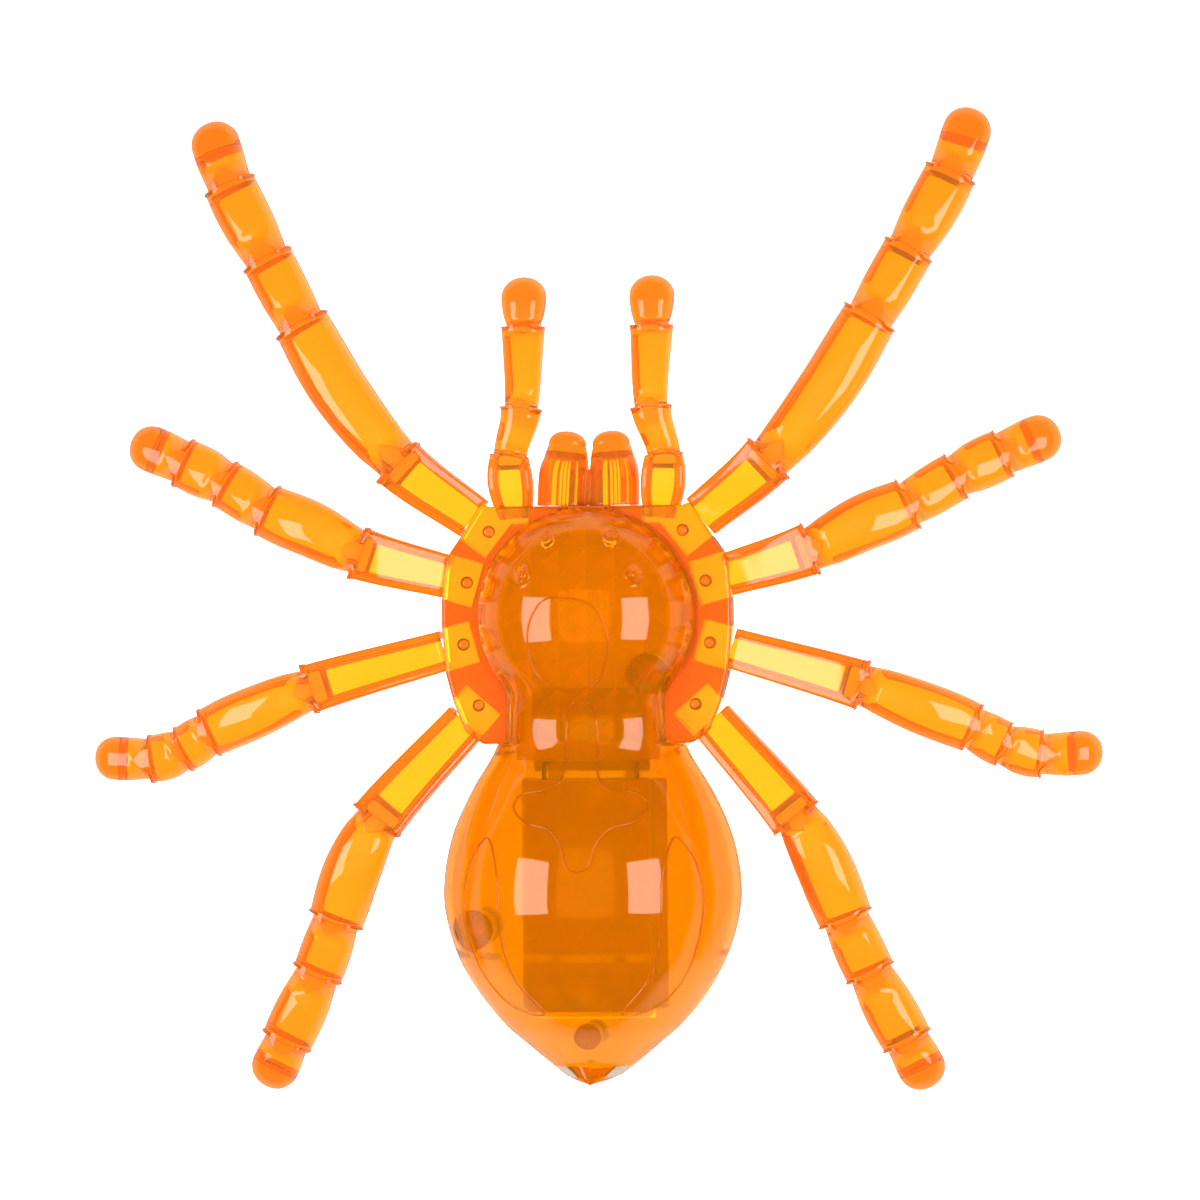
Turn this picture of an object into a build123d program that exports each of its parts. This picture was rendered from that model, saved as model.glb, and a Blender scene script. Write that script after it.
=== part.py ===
from build123d import *

import os
from math import hypot

# Light-up spider decoration: a two-part body shell on a carapace ring, with eight plugged-in legs,
# a lens plate, a battery bay and a slide switch. Millimetres, +Z up, head towards +Y.
# The origin is under the middle of the leg span, on the plane that the spider stands on.

os.makedirs("parts", exist_ok=True)

# Moulded plastic
WALL = 2.0
THIN_WALL = 1.3
PLAY = 0.3
SEAT_GAP = 0.1
STANDING = (Align.CENTER, Align.CENTER, Align.MIN)
BEHIND = (Align.CENTER, Align.MAX)
SPAN = 400.0

# Heights of the body's levels
FLOOR_TOP = 2.0
RIM_Z = 8.0
RING_BOTTOM = 10.0
LEDGE_Z = 16.0
RING_TOP = 20.0
RING_PLATE = 1.6

# Carapace dome
DOME_Y = -3.8
DOME_RADIUS = 28.0
DOME_HEIGHT = 22.0
DOME_CURVE = (DOME_RADIUS ** 2 + DOME_HEIGHT ** 2) / (2 * DOME_HEIGHT)
OPENING_RADIUS = 26.0
NECK_HALF = 18.5
NECK_Y = -37.0
RING_ROUND = 1.2
LEDGE = 1.4
EYE_RADIUS = 2.2
EYE_SINK = 0.9
EYES = [(14.3, 6.9), (8.2, 16.0)]

# Abdomen: half-widths along its axis, from the neck to the tail
TAIL_Y = -124.6
ABDOMEN_SIDE = [
    (23.5, -24.0), (24.5, -37.0), (31.0, -48.5), (36.5, -61.0), (38.7, -75.5), (36.8, -86.7),
    (32.9, -96.1), (24.0, -108.5), (17.0, -114.8), (9.4, -121.0), (5.2, -123.5)]
TUB_RADIUS = 25.0
TUB_HALF = 24.0

# Right half of the ring's outline, from the front to the neck
RING_SIDE = [
    (25.0, 24.6), (27.0, 25.5), (32.0, 17.5), (36.5, 11.0), (37.5, 0.0), (37.5, -6.5),
    (36.5, -18.5), (34.5, -26.0), (31.5, -33.5), (27.0, -36.6)]
RING_CORNER = 1.5

# Screws that hold the two shells together: x, y, post radius
SCREW_POSTS = [(16.0, -18.5, 4.8), (-29.0, -84.0, 4.6), (0.0, -111.4, 3.2)]
POST_TOP = 14.0
HEAD_RADIUS = 2.2
HEAD_HEIGHT = 1.8
HEAD_SEAT_Z = 7.0
SHANK_RADIUS = 1.2
SHANK_LENGTH = 12.0
SHANK_PLAY = 0.05
DRIVE_LENGTH = 3.0
DRIVE_WIDTH = 0.7
DRIVE_DEPTH = 0.9

# Battery bay for two AA cells lying side by side along Y
CELL_RADIUS = 7.1
CELL_LENGTH = 49.2
NUB_RADIUS = 2.7
NUB_LENGTH = 1.2
CELL_X = 7.3
CELL_Z = 10.2
CONTACT = 0.4
SPRING_GAP = 5.2
TRAY_WALL = 1.2
TRAY_HALF = 14.6
TRAY_FRONT = -47.6
TRAY_LENGTH = NUB_LENGTH + CELL_LENGTH + SPRING_GAP + 2 * CONTACT
TRAY_BACK = TRAY_FRONT - TRAY_LENGTH
TRAY_TOP = 17.7
FLANGE_HALF = 19.0
SPRING_RADIUS = 3.2
SPRING_WIRE = 0.35
SPRING_TURNS = 4
CELL_ROUND = 0.5
CONTACT_SIZE = 9.0

# Battery door
DOOR_HALF = 15.2
DOOR_FRONT = -46.8
DOOR_BACK = -107.6
DOOR_BOTTOM = 0.4
DOOR_THICK = 2.0
HINGE_Y = DOOR_FRONT - DOOR_THICK / 2
HINGE_Z = DOOR_BOTTOM + DOOR_THICK / 2
TAB_X = 10.0
TAB_WIDTH = 4.0
TAB_REACH = 2.4
TAB_THICK = 0.9
TAB_Z = 2.3
TAB_ROOT = 2.0
TAB_SLOT = 4.0
TONGUE = (8.0, 1.0, 4.0)
TONGUE_INSET = 1.3
DOOR_CORNER = 2.0
GRIP_RIBS = 5
GRIP_PITCH = 2.4
GRIP_GROOVE = 0.8
GRIP_EDGE = 4.8

# Electronics
BOARD_SIZE = (30.0, 20.0, 1.2)
BOARD_Y = -34.2
BOARD_Z = 7.2
LED_RADIUS = 2.5
LED_HEIGHT = 5.2
LED_Y = -27.6
LED_SPACING = 9.0
LED_RIM = 0.5
LED_CROWN = 1.25
CHIP_PLACE = (8.0, -38.0)
CHIP_RADIUS = 3.0
CHIP_HEIGHT = 1.2
CHIP_ROUND = 0.72
BOARD_POST = (12.5, -40.5, 1.8)
STEM_DEPTH = 2.2
SWITCH_SHELF = 2.8
WIRE_X = 12.0
WIRE_Y = -42.0
WIRE_TOP = 12.0
WIRE_BEND = 2.0
WIRE_RADIUS = 0.6
SWITCH_SIZE = (9.0, 4.6, 4.0)
SWITCH_TRAVEL = 3.0
SWITCH_Y = -35.0
STEM = 1.8
GRIP = (4.6, 5.0, 1.1)
GRIP_Z = 0.4

# Pyramid lens grid
PITCH = 7.2
LENS_PLATE = 1.4
LENS_RISE = 1.5
LENS_GROOVE = 0.2
LENS_TAPER = 62.0
LENS_ROW = -0.5
LENS_COLUMNS = range(-3, 3)
LENS_ROWS = range(-5, 3)
LENS_END = -41.0

# Legs: stations from the ring outwards as (x, y, underside height): root, knee, the bow in the middle
# of the knee segment, shin, ankle, foot and tip. Girth scales the widths of a leg's segments.
LEGS = {
    1: {"girth": 1.0, "pocket": 9.0, "stations": [
        (29.5, 21.6, 10.3), (47.5, 35.8, 19.0), (62.2, 53.4, 18.5), (73.4, 71.9, 15.0),
        (83.2, 89.3, 9.5), (94.0, 109.3, 4.0), (100.3, 126.4, 0.0)]},
    2: {"girth": 0.97, "pocket": 8.5, "stations": [
        (36.3, 6.6, 10.3), (58.0, 12.8, 19.0), (71.1, 19.2, 18.5), (82.8, 24.1, 14.5),
        (94.9, 31.2, 9.0), (106.8, 37.0, 4.0), (121.4, 43.3, 0.0)]},
    3: {"girth": 0.91, "pocket": 8.5, "stations": [
        (37.3, -12.4, 10.3), (71.0, -21.9, 20.0), (85.4, -27.6, 18.5), (98.8, -33.2, 14.0),
        (106.6, -37.6, 9.0), (116.0, -40.3, 4.0), (131.9, -39.9, 0.0)]},
    4: {"girth": 0.98, "pocket": 7.5, "stations": [
        (31.8, -30.8, 10.3), (53.9, -55.7, 19.0), (60.4, -67.3, 18.5), (65.9, -81.6, 14.5),
        (71.8, -95.9, 9.0), (80.9, -113.9, 4.0), (87.1, -126.4, 0.0)]},
}
# Widths of the five segments at their start, middle and end
THIGH_WIDTHS = (10.8, 11.8, 13.0)
KNEE_WIDTHS = (10.8, 14.0, 13.4)
SHIN_WIDTHS = (11.2, 12.4, 12.4)
ANKLE_WIDTHS = (10.6, 12.8, 12.6)
FOOT_WIDTHS = (10.8, 11.8, 3.6)
SEGMENT_LAP = 3.0
HEIGHT_RATIO = 0.72
FLAT_CROWN = 1.0
ROUND_CROWN = 0.42
CAVITY_DROP = 1.0
FOOT_MIDDLE = 0.45
FOOT_SHOULDER = 0.8
SHOULDER_WIDTH = 0.84
TOE_LIFT = 1.0
ROOT_DEPTH = 0.6
ROOT_TAB = 7.0
TAB_OVERLAP = 1.0
ROOT_TAB_WIDTH = 5.0
TAB_FLOOR = 16.6
PEG_RADIUS = 1.3
PEG_PLACE = 5.6
PEG_PLAY = 0.1
POCKET_PLAY = 4 * PLAY

# Pedipalps: stations from the ring to the knob
PALP_STATIONS = [
    (18.8, 24.6, 10.3), (20.0, 37.5, 12.0), (16.9, 49.5, 13.0), (16.7, 70.9, 8.0), (16.7, 84.4, 5.0)]
PALP_WIDTHS = [(7.0, 8.4, 9.0), (8.0, 8.8, 10.8), (8.4, 9.6, 11.0), (8.6, 11.2, 4.0)]
PALP_POCKET = 4.5
PALP_GAP = 1.0

# Chelicerae: sections of one fang from the ring to its tip as (x, y, underside height, width, height)
FANG_SECTIONS = [
    (6.7, 24.7, 8.5, 10.6, 11.0), (6.2, 33.0, 6.0, 10.2, 11.5),
    (5.5, 39.5, 5.0, 8.4, 9.0), (5.1, 43.2, 6.5, 3.6, 4.0)]
FANG_BRIDGE = (5.0, 14.0, 7.0)
FANG_PEG_X = 6.0
FANG_PEG_Z = 14.0
FANG_PEG_RADIUS = 1.2
FANG_PEG_LENGTH = 1.8


def shell_form(inset):
    """The body's outer form, drawn in by inset all round: the dome joined to the abdomen."""
    with BuildPart() as form:
        with Locations((0, DOME_Y, RING_TOP + DOME_HEIGHT - DOME_CURVE)):
            Sphere(DOME_CURVE - inset)
        side = [(y, RIM_Z - x + inset) for x, y in ABDOMEN_SIDE]
        tail = (TAIL_Y + inset, RIM_Z)
        with BuildSketch(Plane.YZ):
            with BuildLine():
                Spline(*side, tail)
                Polyline(tail, (side[0][0], RIM_Z), side[0])
            make_face()
        revolve(axis=Axis((0, 0, RIM_Z), (0, 1, 0)))
    return form.part


def ring_outline(inset):
    """The ring's outline as a face, drawn in by inset."""
    left = [(-x, y) for x, y in reversed(RING_SIDE)]
    with BuildSketch() as outline:
        with BuildLine():
            Polyline(*RING_SIDE, *left, close=True)
        make_face()
        fillet(outline.vertices(), RING_CORNER)
        offset(amount=-inset)
    return outline.sketch


def direction(start, end):
    """Unit plan direction from one station to the next."""
    run = hypot(end[0] - start[0], end[1] - start[1])
    return ((end[0] - start[0]) / run, (end[1] - start[1]) / run)


def blend(start, end, share):
    """The point that lies this share of the way between two stations."""
    return tuple(a + (b - a) * share for a, b in zip(start, end))


def arch_section(point, heading, width, height, crown):
    """A section standing across the heading: flat underneath, arched on top."""
    across = Plane(origin=point, x_dir=(-heading[1], heading[0], 0), z_dir=(heading[0], heading[1], 0))
    half = width / 2
    shoulder = height - crown
    with BuildSketch(across) as section:
        with BuildLine():
            Polyline((-half, shoulder), (-half, 0), (half, 0), (half, shoulder))
            ThreePointArc((half, shoulder), (0, height), (-half, shoulder))
        make_face()
    return section.sketch.face()


def limb_sections(stations, widths, flat, inset):
    """Sections of one segment at its stations; a cavity's are drawn in and reach below it."""
    drop = CAVITY_DROP if inset else 0.0
    sections = []
    heading = direction(stations[0], stations[-1])
    for point, width in zip(stations, widths):
        height = width * HEIGHT_RATIO
        crown = FLAT_CROWN if flat else ROUND_CROWN * width
        roof = THIN_WALL if inset else 0.0
        clear = width - 2 * inset
        foot = (point[0], point[1], point[2] - drop)
        arch = min(crown, clear * ROUND_CROWN)
        sections.append(arch_section(foot, heading, clear, height - roof + drop, arch))
    return sections


def limb(segments, foot):
    """A hollow limb: each segment starts narrow inside the wide end of the one before."""
    with BuildPart() as built:
        for stations, widths, flat in segments:
            loft(limb_sections(stations, widths, flat, 0), ruled=True)
        loft(limb_sections(*foot, False, 0), ruled=True)
        for stations, widths, flat in segments:
            loft(limb_sections(stations, widths, flat, WALL), ruled=True, mode=Mode.SUBTRACT)
    return built.part


def lapped(start, end):
    """The start station moved back into the segment before, by the lap."""
    run = hypot(end[0] - start[0], end[1] - start[1])
    return blend(start, end, -SEGMENT_LAP / run)


def foot_stations(start, tip):
    """Stations of a rounded end piece."""
    shoulder = blend(start, tip, FOOT_SHOULDER)
    middle = blend(start, tip, FOOT_MIDDLE)
    return [start, middle, (shoulder[0], shoulder[1], tip[2]), (tip[0], tip[1], tip[2] + TOE_LIFT)]


def halved(start, end):
    """The start, the middle and the end of a straight segment."""
    return [start, blend(start, end, 0.5), end]


def leg_shape(spec):
    """One right-hand leg with its root tab and snap peg."""
    root, knee, bow, shin, ankle, foot, tip = spec["stations"]
    girth = spec["girth"]
    heading = direction(root, knee)
    inner = (root[0] - heading[0] * ROOT_DEPTH, root[1] - heading[1] * ROOT_DEPTH, root[2])
    lines = [
        halved(inner, knee),
        [lapped(knee, bow), bow, shin],
        halved(lapped(shin, ankle), ankle),
        halved(lapped(ankle, foot), foot),
    ]
    widths = (THIGH_WIDTHS, KNEE_WIDTHS, SHIN_WIDTHS, ANKLE_WIDTHS)
    segments = [(line, [w * girth for w in row], row is THIGH_WIDTHS) for line, row in zip(lines, widths)]
    start, middle, end = (w * girth for w in FOOT_WIDTHS)
    toe = (foot_stations(lapped(foot, tip), tip), (start, middle, middle * SHOULDER_WIDTH, end))
    bare = limb(segments, toe)
    roof = RING_TOP - RING_PLATE - PLAY / 2
    with BuildPart() as leg:
        add(bare)
        with BuildSketch(Plane(origin=(inner[0], inner[1], TAB_FLOOR), x_dir=(heading[0], heading[1], 0))):
            with Locations((TAB_OVERLAP - ROOT_TAB / 2, 0)):
                Rectangle(ROOT_TAB, ROOT_TAB_WIDTH)
        extrude(amount=roof - TAB_FLOOR)
        with BuildSketch(Plane(origin=(root[0], root[1], roof), x_dir=(heading[0], heading[1], 0))):
            with Locations((-PEG_PLACE, 0)):
                Circle(PEG_RADIUS)
        extrude(amount=RING_TOP - roof)
    return leg.part


def save(shape, name):
    """Label one finished piece and write its file."""
    shape.label = name
    export_step(shape, f"parts/{name}.step")


def save_pair(shape, name):
    """Write a right-hand piece and its mirror image."""
    save(mirror(shape, about=Plane.YZ), f"left_{name}")
    save(shape, f"right_{name}")


outer_form = shell_form(0)
inner_form = shell_form(WALL)

# Top shell: dome, neck and abdomen in one moulding, with eye bumps and screw bosses inside
middle_form = shell_form(WALL / 2)
boss_tools = [Pos(x, y, POST_TOP) * Cylinder(radius, SPAN, align=STANDING) for x, y, radius in SCREW_POSTS]
bosses = [tool & middle_form for tool in boss_tools]
eyes = []
for x, y in EYES:
    reach = hypot(x, y - DOME_Y) / DOME_CURVE
    height = RING_TOP + DOME_HEIGHT - DOME_CURVE * (1 - (1 - reach ** 2) ** 0.5) - EYE_SINK
    eyes += [Pos(side * x, y, height) * Sphere(EYE_RADIUS) - middle_form for side in (-1, 1)]
with BuildPart() as top_shell:
    add(outer_form)
    with Locations((0, 0, RIM_Z)):
        Box(SPAN, SPAN, SPAN, align=STANDING, mode=Mode.INTERSECT)
    with Locations((0, NECK_Y, 0)):
        Box(SPAN, SPAN, RING_TOP, align=(Align.CENTER, Align.MIN, Align.MIN), mode=Mode.SUBTRACT)
    add(inner_form, mode=Mode.SUBTRACT)
    add(eyes)
    add(bosses)
    with Locations(*[(x, y, POST_TOP) for x, y, _ in SCREW_POSTS]):
        Cylinder(SHANK_RADIUS, SHANK_LENGTH - (POST_TOP - HEAD_SEAT_Z), align=STANDING, mode=Mode.SUBTRACT)
save(top_shell.part, "top_shell")

# Carapace ring: a thick horseshoe with a pocket under a thin roof for each leg and palp
pockets = [(spec["stations"][0], direction(spec["stations"][0], spec["stations"][1]),
            THIGH_WIDTHS[0] * spec["girth"] + POCKET_PLAY, spec["pocket"]) for spec in LEGS.values()]
pockets.append((PALP_STATIONS[0], (0, 1), PALP_WIDTHS[0][0] + POCKET_PLAY, PALP_POCKET))
with BuildPart() as carapace_ring:
    with BuildSketch(Plane.XY.offset(RING_BOTTOM)):
        add(ring_outline(0))
    extrude(amount=RING_TOP - RING_BOTTOM)
    fillet(carapace_ring.faces().sort_by(Axis.Z)[-1].edges(), RING_ROUND)
    for level, inset in ((RING_BOTTOM, LEDGE), (LEDGE_Z, 0)):
        with BuildSketch(Plane.XY.offset(level)):
            with Locations((0, DOME_Y)):
                Circle(OPENING_RADIUS - inset)
                Rectangle(2 * (NECK_HALF - inset), SPAN, align=BEHIND)
        extrude(amount=RING_TOP, mode=Mode.SUBTRACT)
    for (x, y, _), heading, width, depth in pockets:
        for side in (-1, 1):
            floor = Plane(origin=(side * x, y, RING_BOTTOM), x_dir=(side * heading[0], heading[1], 0))
            with BuildSketch(floor):
                Rectangle(2 * depth, width)
            extrude(amount=RING_TOP - RING_PLATE - RING_BOTTOM, mode=Mode.SUBTRACT)
    for spec in LEGS.values():
        x, y, _ = spec["stations"][0]
        heading = direction(spec["stations"][0], spec["stations"][1])
        for side in (-1, 1):
            with Locations((side * (x - PEG_PLACE * heading[0]), y - PEG_PLACE * heading[1], RING_TOP)):
                Cylinder(PEG_RADIUS + PEG_PLAY, 2 * RING_PLATE, mode=Mode.SUBTRACT)
    x, y, radius = SCREW_POSTS[0]
    with Locations((x, y, RING_BOTTOM)):
        Cylinder(radius + PLAY, RING_TOP, align=STANDING, mode=Mode.SUBTRACT)
    with BuildSketch(Plane.XZ.offset(-RING_SIDE[0][1])):
        with Locations((-FANG_PEG_X, FANG_PEG_Z), (FANG_PEG_X, FANG_PEG_Z)):
            Circle(FANG_PEG_RADIUS + PEG_PLAY)
    extrude(amount=FANG_PEG_LENGTH + PEG_PLAY, mode=Mode.SUBTRACT)
save(carapace_ring.part, "carapace_ring")

# Legs: eight rigid mouldings, each plugged under the ring's roof and held by its snap peg
for number, spec in LEGS.items():
    save_pair(leg_shape(spec), f"leg_{number}")

# Pedipalps: short limbs with an egg-shaped knob, plugged into the ring's front
root, elbow, collar, knob, tip = PALP_STATIONS
palp_root = (root[0], root[1] - PALP_POCKET + PALP_GAP, root[2])
palp_segments = [
    (halved(palp_root, elbow), PALP_WIDTHS[0], True),
    (halved(lapped(elbow, collar), collar), PALP_WIDTHS[1], False),
    (halved(lapped(collar, knob), knob), PALP_WIDTHS[2], False),
]
start, middle, end = PALP_WIDTHS[3]
palp_knob = (foot_stations(lapped(knob, tip), tip), (start, middle, middle * SHOULDER_WIDTH, end))
save_pair(limb(palp_segments, palp_knob), "palp")

# Chelicerae: two fang lobes joined by a bridge, pegged to the ring's front wall
with BuildPart() as chelicerae:
    for side in (-1, 1):
        loft([arch_section((side * x, y, z), (0, 1), width, height, ROUND_CROWN * width)
              for x, y, z, width, height in FANG_SECTIONS])
    with BuildSketch(Plane.XY.offset(FANG_SECTIONS[0][2])):
        with Locations((0, FANG_SECTIONS[0][1])):
            Rectangle(FANG_BRIDGE[0], FANG_BRIDGE[1], align=(Align.CENTER, Align.MIN))
    extrude(amount=FANG_BRIDGE[2])
    with BuildSketch(Plane.XZ.offset(-FANG_SECTIONS[0][1])):
        with Locations((-FANG_PEG_X, FANG_PEG_Z), (FANG_PEG_X, FANG_PEG_Z)):
            Circle(FANG_PEG_RADIUS)
    extrude(amount=FANG_PEG_LENGTH)
save(chelicerae.part, "chelicerae")

# Lens plate: a clear-moulded deck of square pyramids on the ring's ledge
with BuildPart() as lens_plate:
    with BuildSketch(Plane.XY.offset(LEDGE_Z + SEAT_GAP)):
        with Locations((0, DOME_Y)):
            Circle(OPENING_RADIUS - PLAY)
        with Locations((0, DOME_Y)):
            Rectangle(2 * (NECK_HALF - PLAY), DOME_Y - LENS_END, align=BEHIND)
    extrude(amount=LENS_PLATE)
    cells = [(column * PITCH, row * PITCH + LENS_ROW) for column in LENS_COLUMNS for row in LENS_ROWS]
    with BuildSketch(Plane.XY.offset(LEDGE_Z + SEAT_GAP + LENS_PLATE)):
        for x, y in cells:
            corner = hypot(max(abs(x), abs(x + PITCH)), max(abs(y - DOME_Y), abs(y + PITCH - DOME_Y)))
            in_neck = y + PITCH < DOME_Y and max(abs(x), abs(x + PITCH)) < NECK_HALF and y > LENS_END
            if corner < OPENING_RADIUS or in_neck:
                with Locations((x + PITCH / 2, y + PITCH / 2)):
                    Rectangle(PITCH - LENS_GROOVE, PITCH - LENS_GROOVE)
    extrude(amount=LENS_RISE, taper=LENS_TAPER)
    x, y, radius = SCREW_POSTS[0]
    with Locations((x, y, LEDGE_Z)):
        Cylinder(radius + PLAY, RING_TOP, mode=Mode.SUBTRACT)
save(lens_plate.part, "lens_plate")

belly_cavity = inner_form & Pos(0, 0, FLOOR_TOP) * Box(SPAN, SPAN, SPAN, align=STANDING)

# Belly shell: a flat-bottomed tub under the ring that runs on into the abdomen's lower half
with BuildPart() as belly_shell:
    add(outer_form)
    Box(SPAN, SPAN, RIM_Z, align=STANDING, mode=Mode.INTERSECT)
    with BuildSketch():
        with Locations((0, DOME_Y)):
            Circle(TUB_RADIUS)
        with Locations((0, DOME_Y)):
            Rectangle(2 * TUB_HALF, DOME_Y - NECK_Y, align=BEHIND)
    extrude(amount=RING_BOTTOM - SEAT_GAP)
    with BuildSketch(Plane.XY.offset(RIM_Z)):
        add(ring_outline(PLAY))
    extrude(amount=RING_BOTTOM - SEAT_GAP - RIM_Z)
    add(belly_cavity, mode=Mode.SUBTRACT)
    with BuildSketch(Plane.XY.offset(FLOOR_TOP)):
        with Locations((0, DOME_Y)):
            Circle(TUB_RADIUS - WALL)
        with Locations((0, DOME_Y)):
            Rectangle(2 * (TUB_HALF - WALL), DOME_Y - NECK_Y + WALL, align=BEHIND)
    extrude(amount=RING_TOP, mode=Mode.SUBTRACT)
    for x, y, radius in SCREW_POSTS:
        with Locations((x, y, 0)):
            Cylinder(radius, POST_TOP, align=STANDING)
            Cylinder(HEAD_RADIUS + PLAY, HEAD_SEAT_Z, align=STANDING, mode=Mode.SUBTRACT)
            Cylinder(SHANK_RADIUS + PLAY, POST_TOP, align=STANDING, mode=Mode.SUBTRACT)
    for side in (-1, 1):
        with Locations((side * BOARD_POST[0], BOARD_POST[1], 0)):
            Cylinder(BOARD_POST[2], BOARD_Z, align=STANDING)
    with Locations((0, SWITCH_Y, 0)):
        Box(SWITCH_SIZE[0] + 2 * WALL + SWITCH_TRAVEL, SWITCH_SIZE[1] + 2 * WALL, SWITCH_SHELF,
            align=STANDING)
        Box(GRIP[0] + SWITCH_TRAVEL + 2 * PLAY, GRIP[1] + 2 * PLAY, GRIP_Z + GRIP[2] + PLAY,
            align=STANDING, mode=Mode.SUBTRACT)
        Box(STEM + SWITCH_TRAVEL + 2 * PLAY, STEM + 2 * PLAY, SWITCH_SHELF,
            align=STANDING, mode=Mode.SUBTRACT)
    with BuildSketch():
        with Locations((0, DOOR_FRONT + PLAY)):
            Rectangle(2 * (DOOR_HALF + PLAY), DOOR_FRONT - DOOR_BACK + 2 * PLAY, align=BEHIND)
    extrude(amount=FLOOR_TOP + PLAY, mode=Mode.SUBTRACT)
save(belly_shell.part, "belly_shell")

# Battery tray: an open-bottomed box over the cells, on a flange inside the belly floor
with BuildPart() as battery_tray:
    with BuildSketch(Plane.XY.offset(FLOOR_TOP + SEAT_GAP)):
        with Locations((0, TRAY_FRONT + TRAY_WALL)):
            Rectangle(2 * FLANGE_HALF, TRAY_LENGTH + 2 * TRAY_WALL, align=BEHIND)
    extrude(amount=TRAY_WALL)
    with BuildSketch(Plane.XY.offset(FLOOR_TOP + SEAT_GAP)):
        with Locations((0, TRAY_FRONT + TRAY_WALL)):
            Rectangle(2 * (TRAY_HALF + TRAY_WALL), TRAY_LENGTH + 2 * TRAY_WALL, align=BEHIND)
    extrude(amount=TRAY_TOP + TRAY_WALL - FLOOR_TOP - SEAT_GAP)
    with BuildSketch(Plane.XY.offset(FLOOR_TOP)):
        with Locations((0, TRAY_FRONT)):
            Rectangle(2 * TRAY_HALF, TRAY_LENGTH, align=BEHIND)
    extrude(amount=TRAY_TOP - FLOOR_TOP, mode=Mode.SUBTRACT)
    with BuildSketch(Plane.XY.offset(FLOOR_TOP)):
        with Locations((0, (DOOR_FRONT + DOOR_BACK) / 2)):
            Rectangle(2 * (DOOR_HALF + PLAY), DOOR_FRONT - DOOR_BACK)
    extrude(amount=DOOR_BOTTOM + DOOR_THICK + PLAY - FLOOR_TOP, mode=Mode.SUBTRACT)
    for side in (-1, 1):
        with Locations((side * TAB_X, TRAY_FRONT, FLOOR_TOP)):
            Box(TAB_WIDTH + 2 * PLAY, 2 * TRAY_WALL + PLAY, TAB_SLOT, align=STANDING, mode=Mode.SUBTRACT)
save(battery_tray.part, "battery_tray")

# Battery door: a plate that turns about its round front edge, held by two hinge tabs, with a snap
# tongue at its back
with BuildPart() as battery_door:
    with BuildSketch(Plane.XY.offset(DOOR_BOTTOM)) as plate:
        with Locations((0, HINGE_Y)):
            Rectangle(2 * DOOR_HALF, HINGE_Y - DOOR_BACK, align=BEHIND)
        fillet(plate.vertices().group_by(Axis.Y)[0], DOOR_CORNER)
    extrude(amount=DOOR_THICK)
    with Locations(Location((0, HINGE_Y, HINGE_Z), (0, 90, 0))):
        Cylinder(DOOR_THICK / 2, 2 * DOOR_HALF)
    ribs = [(0, DOOR_BACK + GRIP_EDGE + rib * GRIP_PITCH, DOOR_BOTTOM) for rib in range(GRIP_RIBS)]
    with Locations(*ribs):
        Box(DOOR_HALF, GRIP_GROOVE, GRIP_GROOVE, mode=Mode.SUBTRACT)
    for side in (-1, 1):
        with Locations((side * TAB_X, DOOR_FRONT + TAB_REACH, TAB_Z)):
            Box(TAB_WIDTH, TAB_REACH + TAB_ROOT, TAB_THICK, align=(Align.CENTER, Align.MAX, Align.MIN))
    with Locations((0, DOOR_BACK + TONGUE_INSET, DOOR_BOTTOM + DOOR_THICK)):
        Box(*TONGUE, align=STANDING)
save(battery_door.part, "battery_door")

# Two AA cells, head to tail
for name, side, turn in (("left_cell", -1, 0), ("right_cell", 1, 180)):
    middle = TRAY_FRONT - TRAY_LENGTH / 2
    with BuildPart() as cell:
        with BuildSketch(Plane.XZ.offset(NUB_LENGTH)):
            Circle(CELL_RADIUS)
        extrude(amount=CELL_LENGTH)
        fillet(cell.edges(), CELL_ROUND)
        with BuildSketch(Plane.XZ):
            Circle(NUB_RADIUS)
        extrude(amount=NUB_LENGTH)
    from_middle = Pos(0, TRAY_LENGTH / 2 - CONTACT, 0) * cell.part
    save(Pos(side * CELL_X, middle, CELL_Z) * Rot(0, 0, turn) * from_middle, name)

# Contact plates at both ends of the bay
with BuildPart() as contact_plates:
    for side in (-1, 1):
        for y in (TRAY_FRONT, TRAY_BACK + CONTACT):
            with Locations((side * CELL_X, y, CELL_Z)):
                Box(CONTACT_SIZE, CONTACT, CONTACT_SIZE, align=(Align.CENTER, Align.MAX, Align.CENTER))
save(contact_plates.part, "contact_plates")

# Coil springs behind each cell's flat end
spring_room = SPRING_GAP - 2 * SPRING_WIRE
with BuildPart() as cell_springs:
    for side, wall, toward in ((-1, TRAY_BACK, 1), (1, TRAY_FRONT, -1)):
        foot = (side * CELL_X, wall + toward * (CONTACT + SPRING_WIRE), CELL_Z)
        with BuildLine() as coil:
            Helix(spring_room / SPRING_TURNS, spring_room, SPRING_RADIUS, center=foot,
                  direction=(0, toward, 0))
        with BuildSketch(Plane(coil.line @ 0, z_dir=coil.line % 0)):
            Circle(SPRING_WIRE)
        sweep()
save(cell_springs.part, "cell_springs")

# Circuit board on two posts, with its lamps, flasher chip and slide switch
with BuildPart() as circuit_board:
    with Locations((0, BOARD_Y, BOARD_Z)):
        Box(*BOARD_SIZE, align=STANDING)
save(circuit_board.part, "circuit_board")

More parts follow.
